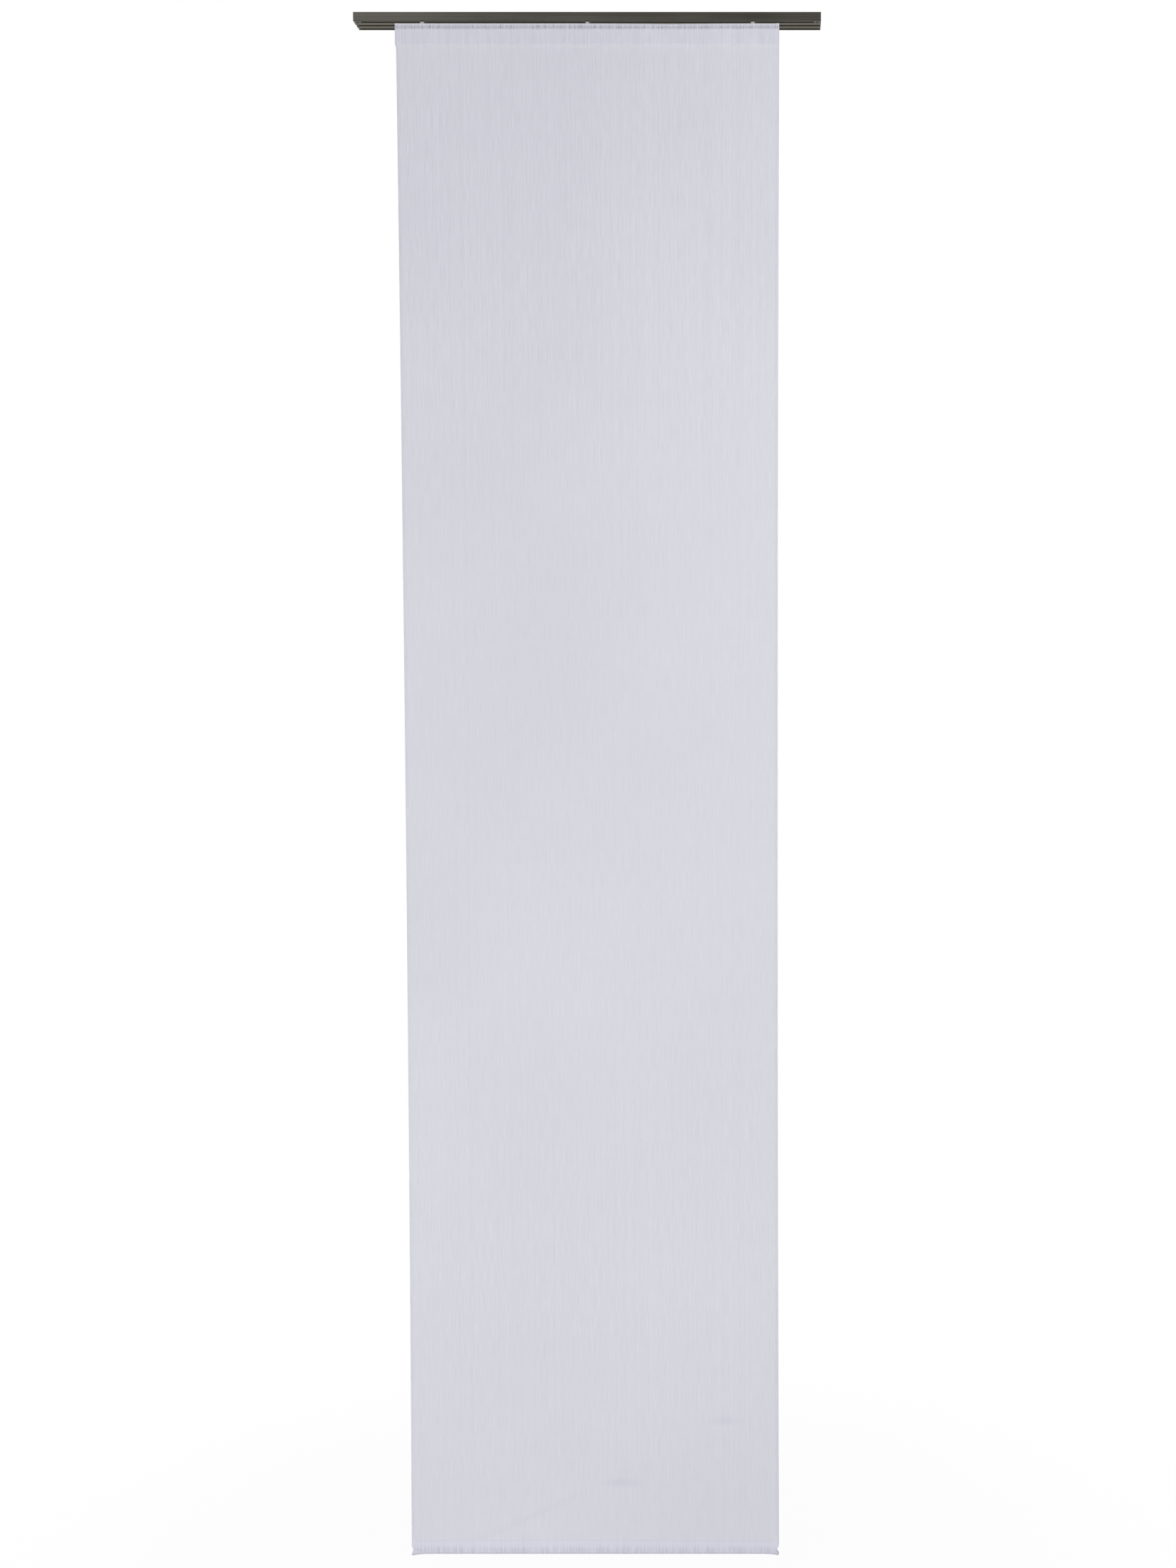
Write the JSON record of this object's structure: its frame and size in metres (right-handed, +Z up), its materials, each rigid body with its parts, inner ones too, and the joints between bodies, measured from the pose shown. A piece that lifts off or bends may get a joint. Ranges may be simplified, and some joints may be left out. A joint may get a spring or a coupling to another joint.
{
  "type": "panel curtain",
  "caption": "Flat sheer cloth panel on a sliding carriage, hung by gliders from a low multi-track ceiling rail, with a weighted bottom tunnel.",
  "frame": {"origin": "centre of the rail's top face, on the ceiling plane", "axes": "+X along the rail, -Y towards the room and the front of the cloth, +Z up into the ceiling"},
  "size_m": [0.73, 0.0555, 2.4667],
  "materials": {
    "rail_metal": "satin dark bronze anodised, brushed lengthwise",
    "stop_plastic": "moulded",
    "screw_steel": "zinc plated",
    "glider_plastic": "moulded, satin",
    "carriage_metal": "natural anodised",
    "tape_fabric": "woven tape with hooks or pile",
    "panel_cloth": "sheer plain weave with heavier vertical yarns",
    "bar_steel": "zinc plated"
  },
  "bodies": {
    "rail": {"rail_profile": "rail_metal", "end_stop_left": "stop_plastic", "end_stop_right": "stop_plastic", "end_stop_screw_left": "screw_steel", "end_stop_screw_right": "screw_steel"},
    "panel": {"glider_left": "glider_plastic", "glider_centre": "glider_plastic", "glider_right": "glider_plastic", "carriage_profile": "carriage_metal", "carriage_plug_left": "glider_plastic", "carriage_plug_right": "glider_plastic", "hook_tape": "tape_fabric", "loop_tape": "tape_fabric", "curtain_fabric": "panel_cloth", "weight_bar": "bar_steel", "bar_cap_left": "glider_plastic", "bar_cap_right": "glider_plastic"}
  },
  "joints": [
    {"name": "panel_slide", "type": "slide", "parent": "rail", "child": "panel", "axis": [1, 0, 0], "range_m": [-0.087, 0.087]}
  ]
}
